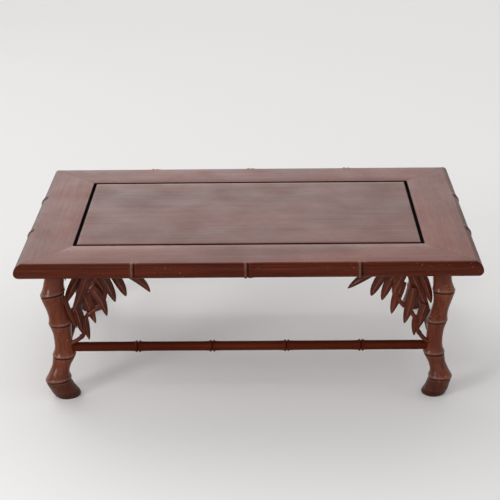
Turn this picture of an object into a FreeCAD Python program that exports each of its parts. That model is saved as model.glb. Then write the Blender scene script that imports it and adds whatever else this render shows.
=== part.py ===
"""Low kang table with legs, edges, stretchers and leaf spandrels carved as bamboo.

Millimetres, +Z up, origin on the floor under the middle of the table, front towards -Y.
"""
import FreeCAD, Part
import math
import os
import re

Vector = FreeCAD.Vector
Rotation = FreeCAD.Rotation
Placement = FreeCAD.Placement

MITRE_ANGLE = 45
HALF_SQUARE = math.cos(math.radians(MITRE_ANGLE))
X_AXIS = Vector(1, 0, 0)
Y_AXIS = Vector(0, 1, 0)
Z_AXIS = Vector(0, 0, 1)

SIZES = {
    # The frame of the top
    "table_length": 800,
    "table_depth": 510,
    "table_height": 281,
    "rail_width": 91,
    "rail_thickness": 28,
    "fit_gap": 0.15,
    "overrun": 5,
    # Bamboo joints carved on the half-round edge
    "edge_joint_spacing": 194,
    "side_joint_spacing": 170,
    "edge_ridge_rise": 2.2,
    "edge_ridge_width": 7,
    "edge_groove_width": 1.5,
    "edge_ramp_rise": 1.4,
    "edge_ramp_width": 10,
    # The floating panel, its tongue and the channel round it
    "channel_width": 6,
    "panel_thickness": 14,
    "tongue_thickness": 6,
    "tongue_reach": 7,
    # Battens under the panel
    "batten_spacing": 170,
    "batten_width": 32,
    "batten_inset": 2,
    "batten_tenon_length": 12,
    "batten_tenon_height": 7,
    "batten_tenon_shoulder": 2,
    "dovetail_width": 18,
    "dovetail_flare": 3,
    "dovetail_depth": 4,
    # Tenons of the long rails in the short rails
    "rail_tenon_width": 30,
    "rail_tenon_height": 9,
    "rail_tenon_setback": 25,
    "rail_tenon_wall": 14,
    "rail_tenon_spacing": 0.6,
    # Legs, carved as bamboo stems that bend along the diagonal
    "leg_inset": 62,
    "leg_radius": 21,
    "leg_sway": 12,
    "leg_tenon_width": 9,
    "leg_tenon_long": 19,
    "leg_tenon_short": 8,
    # Round stretchers with bamboo joints
    "stretcher_radius": 8.7,
    "stretcher_joint_radius": 10.8,
    "stretcher_joint_width": 8,
    "stretcher_joint_spacing": 133,
    "side_stretcher_joint_spacing": 130,
    "stretcher_tenon_width": 7,
    "stretcher_tenon_height": 11,
    "stretcher_tenon_start": 6,
    # Leaf spandrels
    "spandrel_reach": 160,
    "spandrel_foot_rise": 8,
    "side_spandrel_reach": 110,
    "spandrel_strip_height": 6,
    "spandrel_strip_width": 9,
    "spandrel_tongue_width": 4,
    "spandrel_tongue_height": 4,
    "leaf_width": 16,
    "leaf_thickness": 9,
    "leaf_relief": 2.5,
    "twig_radius": 4.2,
}

# Ring of a leg at the height of the stretchers: share of the leg's height, share of the sway
# outwards from its top, share of the leg radius
STRETCHER_RING_SHARES = (0.375, -0.56, 0.75)
# All rings of a leg. A joint is a flared lip over a thin groove, and the stem below it starts a
# little narrower and draws in towards its middle.
LEG_RING_SHARES = (
    (1.000, 0.00, 0.82),
    (0.885, 0.18, 0.82),
    (0.846, 0.30, 0.91),
    (0.818, 0.38, 0.98),
    (0.810, 0.38, 0.88),
    (0.802, 0.38, 0.93),
    (0.751, 0.30, 0.81),
    (0.680, 0.08, 0.74),
    (0.625, -0.15, 0.79),
    (0.577, -0.30, 0.91),
    (0.569, -0.32, 0.83),
    (0.561, -0.33, 0.87),
    (0.490, -0.48, 0.74),
    STRETCHER_RING_SHARES,
    (0.324, -0.56, 0.95),
    (0.316, -0.55, 0.86),
    (0.308, -0.54, 0.91),
    (0.261, -0.14, 0.78),
    (0.213, 0.17, 0.80),
    (0.174, 0.36, 0.96),
    (0.150, 0.41, 1.05),
    (0.142, 0.40, 0.95),
    (0.134, 0.37, 0.99),
    (0.095, 0.13, 1.02),
    (0.057, -0.10, 1.08),
    (0.024, -0.33, 1.10),
    (0.000, -0.56, 1.04),
)
# How far a leg's tenons stand off the mitre on both sides of it, as a share of their width
TENON_SHIFT_SHARE = 0.63

# Leaves of a spandrel: base, middle and tip, each as a share of the reach from the leg's axis
# and a share of the drop below the rail, then a share of the leaf width and of the relief
LEFT_LEAF_SHARES = (
    ((0.70, 0.03), (0.90, 0.15), (1.03, 0.31), 0.80, 0.0),
    ((0.60, 0.03), (0.70, 0.22), (0.76, 0.37), 0.88, 1.0),
    ((0.48, 0.03), (0.58, 0.25), (0.64, 0.43), 0.94, -0.6),
    ((0.38, 0.03), (0.48, 0.22), (0.54, 0.37), 0.94, 0.6),
    ((0.38, 0.25), (0.48, 0.40), (0.54, 0.61), 1.05, -1.0),
    ((0.29, 0.33), (0.34, 0.50), (0.41, 0.72), 0.94, 1.0),
    ((0.37, 0.03), (0.27, 0.32), (0.16, 0.57), 0.99, -1.0),
    ((0.30, 0.03), (0.17, 0.27), (0.08, 0.46), 0.88, 0.6),
    ((0.19, 0.51), (0.23, 0.67), (0.26, 0.85), 1.20, 0.4),
    ((0.30, 0.64), (0.31, 0.79), (0.33, 0.92), 0.58, -0.6),
    ((0.07, 0.37), (0.11, 0.56), (0.20, 0.77), 0.70, -0.4),
)
RIGHT_LEAF_SHARES = (
    ((0.66, 0.03), (0.86, 0.15), (1.03, 0.28), 0.72, 0.0),
    ((0.60, 0.03), (0.71, 0.23), (0.77, 0.37), 0.88, 1.0),
    ((0.49, 0.03), (0.59, 0.26), (0.65, 0.44), 0.94, -0.6),
    ((0.40, 0.03), (0.48, 0.22), (0.53, 0.36), 0.94, 0.6),
    ((0.42, 0.22), (0.49, 0.42), (0.54, 0.62), 0.94, -1.0),
    ((0.31, 0.28), (0.35, 0.52), (0.40, 0.73), 0.94, 1.0),
    ((0.36, 0.03), (0.24, 0.34), (0.13, 0.58), 1.08, -1.0),
    ((0.26, 0.03), (0.16, 0.28), (0.11, 0.47), 0.76, 0.8),
    ((0.17, 0.50), (0.21, 0.65), (0.24, 0.80), 0.94, 0.4),
    ((0.27, 0.65), (0.28, 0.78), (0.28, 0.90), 0.58, -0.6),
)
SIDE_LEAF_SHARES = (
    ((0.72, 0.03), (0.90, 0.15), (1.03, 0.30), 0.80, 0.0),
    ((0.54, 0.03), (0.70, 0.24), (0.80, 0.42), 0.88, 1.0),
    ((0.38, 0.22), (0.55, 0.40), (0.64, 0.60), 0.94, -1.0),
    ((0.50, 0.03), (0.32, 0.34), (0.20, 0.60), 0.94, 0.8),
    ((0.34, 0.03), (0.24, 0.24), (0.17, 0.42), 0.76, -0.8),
    ((0.24, 0.48), (0.32, 0.68), (0.36, 0.84), 1.00, 0.6),
)
# Points of the twig from the leg up to the rail, as shares of reach and drop
LEFT_TWIG_SHARES = (
    (0.06, 1.00), (0.15, 0.97), (0.26, 0.88), (0.29, 0.76), (0.31, 0.64), (0.38, 0.57),
    (0.46, 0.50), (0.52, 0.39), (0.55, 0.24), (0.58, 0.02),
)
RIGHT_TWIG_SHARES = (
    (0.05, 1.00), (0.15, 0.97), (0.24, 0.85), (0.26, 0.74), (0.30, 0.64), (0.36, 0.56),
    (0.44, 0.48), (0.48, 0.40), (0.51, 0.26), (0.54, 0.02),
)
SIDE_TWIG_SHARES = (
    (0.08, 1.00), (0.20, 0.96), (0.32, 0.84), (0.37, 0.66), (0.50, 0.50), (0.58, 0.30),
    (0.64, 0.02),
)
# Stations along a leaf: share of its length and of its full width and thickness
LEAF_STATION_SHARES = ((0.0, 0.42), (0.36, 1.0), (0.74, 0.66))
# Length of a spandrel's top strip and of its tongue, as shares of the reach
STRIP_SHARE = 0.80
TONGUE_SHARE = 0.70
# Carved facets round a leg, round a stretcher and round a twig
LEG_SIDE_COUNT = 14
STRETCHER_SIDE_COUNT = 12
TWIG_SIDE_COUNT = 6

doc = FreeCAD.newDocument("kang_table")
sheet = doc.addObject("Spreadsheet::Sheet", "sizes")
for row, (name, value) in enumerate(SIZES.items(), start=1):
    sheet.set("A%d" % row, name)
    sheet.set("B%d" % row, str(value))
    sheet.setAlias("B%d" % row, name)
doc.recompute()


def size(name):
    """Value of a named size, read from the sheet."""
    return float(getattr(sheet, name))


def bind(item, **formulas):
    """Tie properties of an object to formulas in named sizes."""
    for prop, formula in formulas.items():
        path = prop.replace("__", ".")
        item.setExpression(path, re.sub(r"\b([a-z]\w*)", r"sizes.\1", str(formula)))
    return item


def box(label, spans, turn=0):
    """Box from three spans, each a pair of formulas: its start and its length."""
    item = doc.addObject("Part::Box", label)
    item.Placement = Placement(Vector(), Rotation(Z_AXIS, turn))
    (x, length), (y, width), (z, height) = spans
    bind(item, Length=length, Width=width, Height=height)
    bind(item, Placement__Base__x=x, Placement__Base__y=y, Placement__Base__z=z)
    return item


def rod(label, radius, length, start, direction):
    """Cylinder along a direction, from a start point of three formulas."""
    item = doc.addObject("Part::Cylinder", label)
    item.Placement = Placement(Vector(), Rotation(Z_AXIS, direction))
    bind(item, Radius=radius, Height=length)
    bind(item, Placement__Base__x=start[0], Placement__Base__y=start[1], Placement__Base__z=start[2])
    return item


def cone(label, radii, length, start, direction):
    """Cone along a direction, with the radii at its start and its end."""
    item = doc.addObject("Part::Cone", label)
    item.Placement = Placement(Vector(), Rotation(Z_AXIS, direction))
    bind(item, Radius1=radii[0], Radius2=radii[1], Height=length)
    bind(item, Placement__Base__x=start[0], Placement__Base__y=start[1], Placement__Base__z=start[2])
    return item


def fuse(label, items):
    item = doc.addObject("Part::MultiFuse", label)
    item.Shapes = items
    item.Refine = True
    return item


def cut(label, base, tool):
    item = doc.addObject("Part::Cut", label)
    item.Base = base
    item.Tool = tool
    item.Refine = True
    return item


def mirror(label, source, normal):
    item = doc.addObject("Part::Mirroring", label)
    item.Source = source
    item.Normal = normal
    return item


def feature(label, shape):
    item = doc.addObject("Part::Feature", label)
    item.Shape = shape
    return item


def shifted(start, axis, amount):
    """Start point moved along one axis (0, 1 or 2) by a formula."""
    point = list(start)
    point[axis] = "(%s) + (%s)" % (point[axis], amount)
    return point


# Lines that several pieces share, as formulas
HALF_LENGTH = "(table_length / 2)"
HALF_DEPTH = "(table_depth / 2)"
EDGE_RADIUS = "(rail_thickness / 2)"
UNDERSIDE = "(table_height - rail_thickness)"
EDGE_CENTRE = "(table_height - rail_thickness / 2)"
INNER_X = "(table_length / 2 - rail_width)"
INNER_Y = "(table_depth / 2 - rail_width)"
PANEL_UNDERSIDE = "(table_height - panel_thickness)"
LEG_X = "(table_length / 2 - leg_inset)"
LEG_Y = "(table_depth / 2 - leg_inset)"
# The leg's tenons stand on both sides of the mitre, a little more than half a diagonal off it
TENON_SHIFT = "(%s * leg_tenon_width)" % TENON_SHIFT_SHARE
BATTEN_PLACES = (-1, 0, 1)
# The rail tenon passes over the leg's short tenon
RAIL_TENON_FOOT = "(table_height - rail_thickness + leg_tenon_short + rail_tenon_spacing)"
BATTEN_TENON_FOOT = "(table_height - rail_thickness + batten_inset + batten_tenon_shoulder)"


def rail_stock(label, axis):
    """Straight rail on the negative side, with its half-round edge and the panel's groove."""
    half, outer, inner = (HALF_LENGTH, HALF_DEPTH, INNER_Y)
    if axis == 1:
        half, outer, inner = (HALF_DEPTH, HALF_LENGTH, INNER_X)
    along = ("-" + half, "2 * " + half)
    across = ("-%s + %s" % (outer, EDGE_RADIUS), "rail_width - " + EDGE_RADIUS)
    groove = ("-%s - tongue_reach - fit_gap" % inner, "tongue_reach + fit_gap + overrun")
    level = (UNDERSIDE, "rail_thickness")
    groove_level = (PANEL_UNDERSIDE + " - fit_gap", "tongue_thickness + 2 * fit_gap")
    start = ["-" + half, "-%s + %s" % (outer, EDGE_RADIUS), EDGE_CENTRE]
    spans, groove_spans = (along, across, level), (along, groove, groove_level)
    if axis == 1:
        spans, groove_spans = (across, along, level), (groove, along, groove_level)
        start = [start[1], start[0], start[2]]
    direction = (X_AXIS, Y_AXIS)[axis]
    bar = box(label + "_bar", spans)
    edge = rod(label + "_edge", EDGE_RADIUS, "2 * " + half, start, direction)
    return bar, edge, box(label + "_groove", groove_spans)


def edge_joint(label, start, axis):
    """Bamboo joint round the half-round edge: a ridge, a thin groove and a gentle ramp."""
    direction = (X_AXIS, Y_AXIS)[axis]
    half = "edge_ridge_width / 2"
    top = EDGE_RADIUS + " + edge_ridge_rise"
    ramp = EDGE_RADIUS + " + edge_ramp_rise"
    foot = shifted(start, axis, "-edge_ridge_width - edge_groove_width / 2")
    return [
        cone(label + "_rise", (EDGE_RADIUS, top), half, foot, direction),
        cone(label + "_fall", (top, EDGE_RADIUS), half, shifted(foot, axis, half), direction),
        cone(label + "_ramp", (ramp, EDGE_RADIUS), "edge_ramp_width",
             shifted(start, axis, "edge_groove_width / 2"), direction),
    ]


def edge_joints(label, axis, places, spacing):
    """Joints on the half-round edge of a rail on the negative side, kept to its outer half."""
    ridges = []
    outer = (HALF_DEPTH, HALF_LENGTH)[axis]
    for number, place in enumerate(places):
        along = "%s * (%s)" % (place, spacing)
        across = "-%s + %s" % (outer, EDGE_RADIUS)
        start = [along, across, EDGE_CENTRE] if axis == 0 else [across, along, EDGE_CENTRE]
        ridges += edge_joint("%s_joint_%d" % (label, number), start, axis)
    # They stop flush with the top, so that the table top stays flat
    keep_across = ("-%s - %s" % (outer, EDGE_RADIUS), "2 * " + EDGE_RADIUS)
    keep_along = ("-%s" % HALF_LENGTH, "table_length")
    keep_level = (UNDERSIDE + " - rail_thickness", "2 * rail_thickness")
    spans = (keep_along, keep_across, keep_level)
    if axis == 1:
        spans = (keep_across, keep_along, keep_level)
    common = doc.addObject("Part::Common", label + "_outer_joints")
    common.Base = fuse(label + "_joints", ridges)
    common.Tool = box(label + "_outer_side", spans)
    common.Refine = True
    return common


def mitre_waste(label, end):
    """Wood past the mitre at the front corner on the side that end gives, seen from a long rail."""
    spans = ((HALF_LENGTH + " + rail_width", "3 * rail_width"),
             ("-%s - rail_width" % HALF_DEPTH, "5 * rail_width"),
             (UNDERSIDE + " - overrun", "rail_thickness + 2 * overrun"))
    waste = box(label, spans, turn=MITRE_ANGLE)
    if end > 0:
        return waste
    return mirror(label + "_left", waste, X_AXIS)


def frame_side_waste(label, end):
    """Wood past the mitre at a left corner, seen from the short rail."""
    spans = (("-%s - rail_width" % HALF_LENGTH, "5 * rail_width"),
             ("-%s - rail_width" % HALF_DEPTH, "3 * rail_width"),
             (UNDERSIDE + " - overrun", "rail_thickness + 2 * overrun"))
    waste = box(label, spans, turn=MITRE_ANGLE)
    # The box turns about its own corner, so its far side lies along the mitre
    corner = "3 * rail_width * %.9f" % HALF_SQUARE
    bind(waste, Placement__Base__x="-%s - rail_width + %s" % (HALF_LENGTH, corner),
         Placement__Base__y="-%s - rail_width - %s" % (HALF_DEPTH, corner))
    if end < 0:
        return waste
    return mirror(label + "_back", waste, Y_AXIS)


def rail_tenon(label, end, slack):
    """Tenon of the front rail in a short rail. A slack of 1 gives the mortise for it."""
    grow = "%d * fit_gap" % slack
    setback = "%s + rail_tenon_setback" % INNER_Y
    spans = ((INNER_X, "rail_width - rail_tenon_wall + " + grow),
             ("-(%s) - rail_tenon_width - %s" % (setback, grow), "rail_tenon_width + 2 * (%s)" % grow),
             (RAIL_TENON_FOOT + " - " + grow, "rail_tenon_height + 2 * (%s)" % grow))
    tenon = box(label, spans)
    if end > 0:
        return tenon
    return mirror(label + "_left", tenon, X_AXIS)


def leg_tenon(label, side, slack):
    """Square tenon on top of the back right leg: side 1 in the long rail, -1 in the short one."""
    grow = "%d * fit_gap" % slack
    width = "leg_tenon_width + 2 * (%s)" % grow
    height = ("leg_tenon_long" if side > 0 else "leg_tenon_short") + " + %s + overrun" % grow
    spans = (("%s - %d * %s - (%s) / 2" % (LEG_X, side, TENON_SHIFT, width), width),
             ("%s + %d * %s - (%s) / 2" % (LEG_Y, side, TENON_SHIFT, width), width),
             (UNDERSIDE + " - overrun", height))
    return box(label, spans)


def spandrel_tongue(label, axis, reach, slack):
    """Tongue along the top of a spandrel, in the place for the back right corner."""
    grow = "%d * fit_gap" % slack
    width = "spandrel_tongue_width + 2 * (%s)" % grow
    length = "%s * %s" % (TONGUE_SHARE, reach)
    height = "spandrel_strip_height / 2 + spandrel_tongue_height + " + grow
    level = (UNDERSIDE + " - spandrel_strip_height / 2", height)
    across_centre = (LEG_Y, LEG_X)[axis]
    along_centre = (LEG_X, LEG_Y)[axis]
    across = ("%s - (%s) / 2" % (across_centre, width), width)
    along = ("%s - %s - leg_radius - %s" % (along_centre, length, grow),
             "%s + 2 * (%s)" % (length, grow))
    return box(label, (along, across, level) if axis == 0 else (across, along, level))


def batten_tenon(label, number, slack):
    """Through bar that gives both tenons of a batten, or their mortises."""
    grow = "%d * fit_gap" % slack
    width = "dovetail_width + 2 * (%s)" % grow
    half = "(%s + batten_tenon_length + %s)" % (INNER_Y, grow)
    return box(label, (("%d * batten_spacing - (%s) / 2" % (number, width), width),
                       ("-" + half, "2 * " + half),
                       (BATTEN_TENON_FOOT + " - " + grow, "batten_tenon_height + 2 * (%s)" % grow)))


def dovetail(label, number, slack):
    """Dovetail key across the panel's underside, wider at its top."""
    item = doc.addObject("Part::Wedge", label)
    item.Placement = Placement(Vector(), Rotation(X_AXIS, 90))
    grow = "%d * fit_gap" % slack
    foot = "(dovetail_width / 2 + %s)" % grow
    top = "(dovetail_width / 2 + dovetail_flare + %s)" % grow
    half = "(%s + fit_gap + overrun * %d)" % (INNER_Y, slack)
    bind(item, Xmin="-" + foot, Xmax=foot, X2min="-" + top, X2max=top, Ymin="0 * fit_gap",
         Ymax="dovetail_depth + " + grow, Zmin="-" + half, Zmax=half, Z2min="-" + half, Z2max=half)
    bind(item, Placement__Base__x="%d * batten_spacing" % number, Placement__Base__z=PANEL_UNDERSIDE)
    return item


def make_long_rails():
    """Front rail with both tenons, and the back rail as its mirror image."""
    bar, edge, groove = rail_stock("front", 0)
    joints = edge_joints("front", 0, (-1, 0, 1), "edge_joint_spacing")
    waste = fuse("front_waste", [mitre_waste("front_mitre", 1), mitre_waste("front_mitre_2", -1), groove])
    blank = cut("front_blank", fuse("front_stock", [bar, edge, joints]), waste)
    tenons = [rail_tenon("front_tenon", 1, 0), rail_tenon("front_tenon_2", -1, 0)]
    whole = fuse("front_with_tenons", [blank] + tenons)
    back_mortises = [leg_tenon("long_leg_mortise", 1, 1),
                     spandrel_tongue("long_tongue_groove", 0, "spandrel_reach", 1)]
    right = [mirror(item.Name + "_front", item, Y_AXIS) for item in back_mortises]
    left = [mirror(item.Name + "_left", item, X_AXIS) for item in right]
    battens = [batten_tenon("batten_mortise_%d" % (n + 2), n, 1) for n in BATTEN_PLACES]
    front = cut("front_rail", whole, fuse("front_mortises", right + left + battens))
    return {"front_rail": front, "back_rail": mirror("back_rail", front, Y_AXIS)}


def make_short_rails():
    """Left rail with the mortises for the long rails' tenons, and the right rail."""
    bar, edge, groove = rail_stock("left", 1)
    joints = edge_joints("left", 1, (-1, 1), "side_joint_spacing / 2")
    mitres = [frame_side_waste("left_mitre", -1), frame_side_waste("left_mitre_2", 1)]
    waste = fuse("left_waste", mitres + [groove])
    blank = cut("left_blank", fuse("left_stock", [bar, edge, joints]), waste)
    tenon = rail_tenon("left_mortise", -1, 1)
    corner = [leg_tenon("short_leg_mortise", -1, 1),
              spandrel_tongue("short_tongue_groove", 1, "side_spandrel_reach", 1)]
    back = [mirror(item.Name + "_left", item, X_AXIS) for item in corner]
    front = [mirror(item.Name + "_front", item, Y_AXIS) for item in back]
    mortises = fuse("left_mortises", [tenon, mirror("left_mortise_back", tenon, Y_AXIS)] + back + front)
    left = cut("left_rail", blank, mortises)
    return {"left_rail": left, "right_rail": mirror("right_rail", left, X_AXIS)}


def make_panel():
    """Floating panel: the raised field, its tongue and the dovetail slots below."""
    field_x = "(%s - channel_width)" % INNER_X
    field_y = "(%s - channel_width)" % INNER_Y
    edge_x = "(%s + tongue_reach - fit_gap)" % INNER_X
    edge_y = "(%s + tongue_reach - fit_gap)" % INNER_Y
    field = box("panel_field", (("-" + field_x, "2 * " + field_x), ("-" + field_y, "2 * " + field_y),
                                (PANEL_UNDERSIDE, "panel_thickness")))
    tongue = box("panel_tongue", (("-" + edge_x, "2 * " + edge_x), ("-" + edge_y, "2 * " + edge_y),
                                  (PANEL_UNDERSIDE, "tongue_thickness")))
    slots = fuse("panel_slots", [dovetail("panel_slot_%d" % (n + 2), n, 1) for n in BATTEN_PLACES])
    return {"panel": cut("panel", fuse("panel_board", [field, tongue]), slots)}


def make_battens():
    """Battens under the panel, each with a dovetail key and a tenon at both ends."""
    made = {}
    names = ("left_batten", "middle_batten", "right_batten")
    half = "(%s - fit_gap)" % INNER_Y
    for name, number in zip(names, BATTEN_PLACES):
        height = "%s - %s - batten_inset" % (PANEL_UNDERSIDE, UNDERSIDE)
        bar = box(name + "_bar", (("%d * batten_spacing - batten_width / 2" % number, "batten_width"),
                                  ("-" + half, "2 * " + half),
                                  (UNDERSIDE + " + batten_inset", height)))
        ends = batten_tenon(name + "_tenons", number, 0)
        made[name] = fuse(name, [bar, ends, dovetail(name + "_key", number, 0)])
    return made


def stretcher_place():
    """Formulas for the leg's axis where the stretchers meet it: x, y and height."""
    share, sway, radius = STRETCHER_RING_SHARES
    shift = "leg_sway * %s" % sway
    return "(%s + %s)" % (LEG_X, shift), "(%s + %s)" % (LEG_Y, shift), "(%s * %s)" % (UNDERSIDE, share)


def stretcher_core(label, axis, slack):
    """Thin bar through both legs of a side, that gives the stretcher's two tenons."""
    x, y, z = stretcher_place()
    along, across = (x, y) if axis == 0 else (y, x)
    half = "(%s - stretcher_tenon_start + %d * fit_gap)" % (along, slack)
    width = "stretcher_tenon_width + 2 * %d * fit_gap" % slack
    height = "stretcher_tenon_height + 2 * %d * fit_gap" % slack
    long_span = ("-" + half, "2 * " + half)
    wide_span = ("%s - (%s) / 2" % (across, width), width)
    level = ("%s - (%s) / 2" % (z, height), height)
    return box(label, (long_span, wide_span, level) if axis == 0 else (wide_span, long_span, level))


def corner_place():
    """Place of the back right leg's axis at the rails, and the height of their underside."""
    leg_x = size("table_length") / 2 - size("leg_inset")
    leg_y = size("table_depth") / 2 - size("leg_inset")
    return leg_x, leg_y, size("table_height") - size("rail_thickness")


def ring(centre, radius, across, upward, sides):
    """Corners of a regular ring in the plane of two directions."""
    corners = []
    for number in range(sides):
        angle = 2 * math.pi * number / sides
        corners.append(centre + across * (radius * math.cos(angle)) + upward * (radius * math.sin(angle)))
    return corners


def leg_stem():
    """Stem of the back right leg. Its rings are level and alike, so that its facets are flat."""
    leg_x, leg_y, underside = corner_place()
    rings = []
    for share, sway, radius in LEG_RING_SHARES:
        drift = size("leg_sway") * sway
        centre = Vector(leg_x + drift, leg_y + drift, underside * share)
        rings.append(ring(centre, size("leg_radius") * radius, X_AXIS, Y_AXIS, LEG_SIDE_COUNT))
    return feature("leg_stem", faceted(rings))


def make_legs():
    """The back right leg and its three mirror images, with the plain stems for the copes."""
    stem = leg_stem()
    bores = fuse("leg_bores", [stretcher_core("long_bore", 0, 1), stretcher_core("short_bore", 1, 1)])
    tenons = [leg_tenon("leg_long_tenon", 1, 0), leg_tenon("leg_short_tenon", -1, 0)]
    legs = {"back_right_leg": fuse("back_right_leg", [cut("leg_bored", stem, bores)] + tenons)}
    stems = {"back_right": stem}
    for place, source, normal in (("back_left", "back_right", X_AXIS), ("front_right", "back_right", Y_AXIS),
                                  ("front_left", "back_left", Y_AXIS)):
        legs[place + "_leg"] = mirror(place + "_leg", legs[source + "_leg"], normal)
        stems[place] = mirror(place + "_stem", stems[source], normal)
    return legs, stems


def stretcher_round(label, axis, places, spacing):
    """Round bar between the axes of two legs, with two ridges at each bamboo joint."""
    leg_x, leg_y, underside = corner_place()
    share, sway, radius = STRETCHER_RING_SHARES
    drift = size("leg_sway") * sway
    along, across = (leg_x + drift, leg_y + drift) if axis == 0 else (leg_y + drift, leg_x + drift)
    direction, side = (X_AXIS, Y_AXIS) if axis == 0 else (Y_AXIS, X_AXIS)
    thin, thick = size("stretcher_radius"), size("stretcher_joint_radius")
    quarter = size("stretcher_joint_width") / 4
    stations = [(-along, thin)]
    for place in places:
        middle = place * size(spacing)
        for step, width in ((-2, thin), (-1, thick), (0, thin), (1, thick), (2, thin)):
            stations.append((middle + step * quarter, width))
    stations.append((along, thin))
    rings = []
    for reach, width in stations:
        centre = direction * reach + side * across + Z_AXIS * (underside * share)
        rings.append(ring(centre, width, side, Z_AXIS, STRETCHER_SIDE_COUNT))
    return feature(label, faceted(rings))


def make_stretchers(stems):
    """Round stretchers, coped to the legs."""
    plans = (("back_stretcher", 0, (-1.5, -0.5, 0.5, 1.5), "stretcher_joint_spacing",
              ("back_left", "back_right")),
             ("right_stretcher", 1, (-0.5, 0.5), "side_stretcher_joint_spacing",
              ("front_right", "back_right")))
    made = {}
    for name, axis, places, spacing, ends in plans:
        bar = stretcher_round(name + "_round", axis, places, spacing)
        coped = cut(name + "_coped", bar, fuse(name + "_stems", [stems[end] for end in ends]))
        made[name] = fuse(name, [coped, stretcher_core(name + "_core", axis, 0)])
    made["front_stretcher"] = mirror("front_stretcher", made["back_stretcher"], Y_AXIS)
    made["left_stretcher"] = mirror("left_stretcher", made["right_stretcher"], X_AXIS)
    return made


def flat_faces(corners):
    """One face for four corners in a plane, else two triangles."""
    a, b, c, d = corners
    if abs((b - a).cross(c - a).dot(d - a)) < 1e-10 * (c - a).Length ** 3:
        return [Part.Face(Part.makePolygon([a, b, c, d, a]))]
    return [Part.Face(Part.makePolygon([a, b, c, a])), Part.Face(Part.makePolygon([a, c, d, a]))]


def faceted(rings, tip=None):
    """Solid with flat faces through rings of points, closed by a tip or by the last ring."""
    faces = [Part.Face(Part.makePolygon(rings[0] + rings[0][:1]))]
    count = len(rings[0])
    for low, high in zip(rings, rings[1:]):
        for i in range(count):
            k = (i + 1) % count
            faces += flat_faces((low[i], low[k], high[k], high[i]))
    if tip is None:
        faces.append(Part.Face(Part.makePolygon(rings[-1] + rings[-1][:1])))
    else:
        for i in range(count):
            k = (i + 1) % count
            faces.append(Part.Face(Part.makePolygon([rings[-1][i], rings[-1][k], tip, rings[-1][i]])))
    solid = Part.Solid(Part.Shell(faces))
    if solid.Volume < 0:
        solid.reverse()
    return solid


def leaf(base, middle, tip, width, thickness, relief):
    """Carved leaf: sections all alike and parallel, so that its faces are flat, with a midrib."""
    chord = (tip - base).normalize()
    across = chord.cross(Y_AXIS)
    depth = Vector(0, relief, 0)
    rings = []
    for share, scale in LEAF_STATION_SHARES:
        point = base * ((1 - share) * (1 - 2 * share)) + middle * (4 * share * (1 - share))
        point = point + tip * (share * (2 * share - 1)) + depth
        side = across * (width / 2 * scale)
        rib = Y_AXIS * (thickness / 2 * scale)
        rings.append([point - side, point - rib, point + side, point + rib])
    return faceted(rings, tip + depth)


def twig(points, radius):
    """Thin twig through the points, with flat facets."""
    rings = []
    for before, point, after in zip(points[:1] + points, points, points[1:] + points[-1:]):
        across = (after - before).normalize().cross(Y_AXIS)
        rings.append(ring(point, radius, across, Y_AXIS, TWIG_SIDE_COUNT))
    return faceted(rings)


def spandrel_body(reach, drop, leaf_shares, twig_shares):
    """Openwork of leaves and a twig under a strip, in its own frame: X away from the leg."""
    def spot(shares):
        return Vector(shares[0] * reach, 0, -shares[1] * drop)

    pieces = [twig([spot(shares) for shares in twig_shares], size("twig_radius"))]
    for base, middle, tip, width_share, relief_share in leaf_shares:
        pieces.append(leaf(spot(base), spot(middle), spot(tip), width_share * size("leaf_width"),
                           size("leaf_thickness"), relief_share * size("leaf_relief")))
    width = size("spandrel_strip_width")
    height = size("spandrel_strip_height")
    pieces.append(Part.makeBox(STRIP_SHARE * reach, width, height, Vector(0, -width / 2, -height)))
    tongue_width = size("spandrel_tongue_width")
    tongue_height = height / 2 + size("spandrel_tongue_height")
    pieces.append(Part.makeBox(TONGUE_SHARE * reach, tongue_width, tongue_height,
                               Vector(size("leg_radius"), -tongue_width / 2, -height / 2)))
    return pieces[0].multiFuse(pieces[1:]).removeSplitter()


def make_spandrels(stems):
    """Leaf spandrels under the rails, fitted round the stems of the legs."""
    leg_x, leg_y, underside = corner_place()
    # Their twigs end at the legs, just above the stretchers
    drop = underside - underside * STRETCHER_RING_SHARES[0] - size("spandrel_foot_rise")
    reach = size("spandrel_reach")
    side_reach = size("side_spandrel_reach")
    plans = (
        ("front_left_spandrel", reach, LEFT_LEAF_SHARES, LEFT_TWIG_SHARES, -1, 0),
        ("front_right_spandrel", reach, RIGHT_LEAF_SHARES, RIGHT_TWIG_SHARES, 1, 180),
        ("right_front_spandrel", side_reach, SIDE_LEAF_SHARES, SIDE_TWIG_SHARES, 1, 90),
    )
    made = {}
    for name, length, leaf_shares, twig_shares, end, turn in plans:
        carving = feature(name + "_carving", spandrel_body(length, drop, leaf_shares, twig_shares))
        carving.Placement = Placement(Vector(end * leg_x, -leg_y, underside), Rotation(Z_AXIS, turn))
        made[name] = cut(name, carving, stems["front_right" if end > 0 else "front_left"])
    for name, source, normal in (("back_left_spandrel", "front_left_spandrel", Y_AXIS),
                                 ("back_right_spandrel", "front_right_spandrel", Y_AXIS),
                                 ("right_back_spandrel", "right_front_spandrel", Y_AXIS),
                                 ("left_front_spandrel", "right_front_spandrel", X_AXIS),
                                 ("left_back_spandrel", "right_back_spandrel", X_AXIS)):
        made[name] = mirror(name, made[source], normal)
    return made


nodes = {}
nodes.update(make_long_rails())
nodes.update(make_short_rails())
nodes.update(make_panel())
nodes.update(make_battens())
leg_nodes, leg_stems = make_legs()
nodes.update(leg_nodes)
nodes.update(make_stretchers(leg_stems))
nodes.update(make_spandrels(leg_stems))
doc.recompute()

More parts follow.
